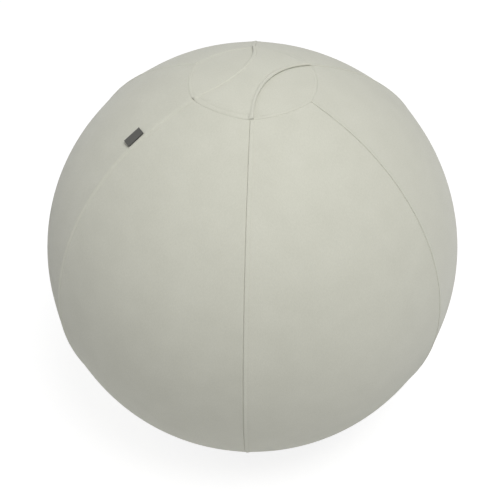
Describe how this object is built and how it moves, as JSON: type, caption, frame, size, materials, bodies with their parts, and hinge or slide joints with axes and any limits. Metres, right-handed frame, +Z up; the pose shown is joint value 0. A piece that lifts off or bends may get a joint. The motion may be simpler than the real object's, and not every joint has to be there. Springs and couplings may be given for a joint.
{
  "type": "sitting ball",
  "caption": "Inflated sitting ball in a sewn cloth cover with a crown handle, a weighted flat base and a zipped bottom panel.",
  "frame": {"origin": "on the floor, under the centre of the ball", "axes": "+Z up; -Y towards the front seam that faces the picture's camera; the zip is at +Y"},
  "size_m": [0.642, 0.6498, 0.6349],
  "materials": {
    "cover_cloth": "pale sage grey polyester with a fine felted melange face",
    "lining_cloth": "same cloth, back side, with overlocked raw edges",
    "label_tape": "dark grey woven tape, left blank",
    "base_cloth": "dark grey plain-woven polyester",
    "grip_rubber": "matt black moulded rubber",
    "ballast_steel": "dark painted steel plate",
    "inner_vinyl": "semi-gloss grey soft vinyl",
    "plug_plastic": "white moulded plastic",
    "zip_tape": "fine herringbone zip tape",
    "zip_moulding": "moulded acetal teeth in the cloth's colour",
    "slider_metal": "lacquered zinc casting"
  },
  "bodies": {
    "ball": {"gore_panel_1": "cover_cloth", "gore_panel_2": "cover_cloth", "gore_panel_3": "cover_cloth", "gore_panel_4": "cover_cloth", "gore_panel_5": "cover_cloth", "gore_panel_6": "cover_cloth", "crown_panel": "cover_cloth", "seam_binding_1": "lining_cloth", "seam_binding_2": "lining_cloth", "seam_binding_3": "lining_cloth", "seam_binding_4": "lining_cloth", "seam_binding_5": "lining_cloth", "seam_binding_6": "lining_cloth", "crown_binding": "lining_cloth", "base_binding": "lining_cloth", "ballast_pouch": "lining_cloth", "side_label": "label_tape", "base_panel": "base_cloth", "grip_mat": "grip_rubber", "ballast_plate": "ballast_steel", "inner_ball": "inner_vinyl", "valve_neck": "inner_vinyl", "valve_plug": "plug_plastic", "zip_tape_upper": "zip_tape", "zip_tape_lower": "zip_tape", "zip_teeth_upper": "zip_moulding", "zip_teeth_lower": "zip_moulding", "zip_end_stops": "slider_metal"},
    "handle": {"handle_strap": "cover_cloth", "handle_lining": "lining_cloth"},
    "slider_left": {"zip_slider_left": "slider_metal"},
    "slider_right": {"zip_slider_right": "slider_metal"},
    "pull_left": {"zip_pull_left": "slider_metal"},
    "pull_right": {"zip_pull_right": "slider_metal"}
  },
  "joints": [
    {"name": "handle_lift", "type": "slide", "parent": "ball", "child": "handle", "axis": [0, 0, 1], "range_m": [0, 0.025]},
    {"name": "slider_left_travel", "type": "hinge", "parent": "ball", "child": "slider_left", "pos_m": [0, 0, 0], "axis": [0, 0, 1], "range_deg": [0, 74]},
    {"name": "slider_right_travel", "type": "hinge", "parent": "ball", "child": "slider_right", "pos_m": [0, 0, 0], "axis": [0, 0, 1], "range_deg": [-74, 0]},
    {"name": "pull_left_swing", "type": "hinge", "parent": "slider_left", "child": "pull_left", "pos_m": [-0.00758, 0.18065, 0.04304], "axis": [-0.0347, 0.8273, 0.5607], "range_deg": [-15, 85]},
    {"name": "pull_right_swing", "type": "hinge", "parent": "slider_right", "child": "pull_right", "pos_m": [0.00758, 0.18065, 0.04304], "axis": [0.0347, 0.8273, 0.5607], "range_deg": [-85, 15]}
  ]
}
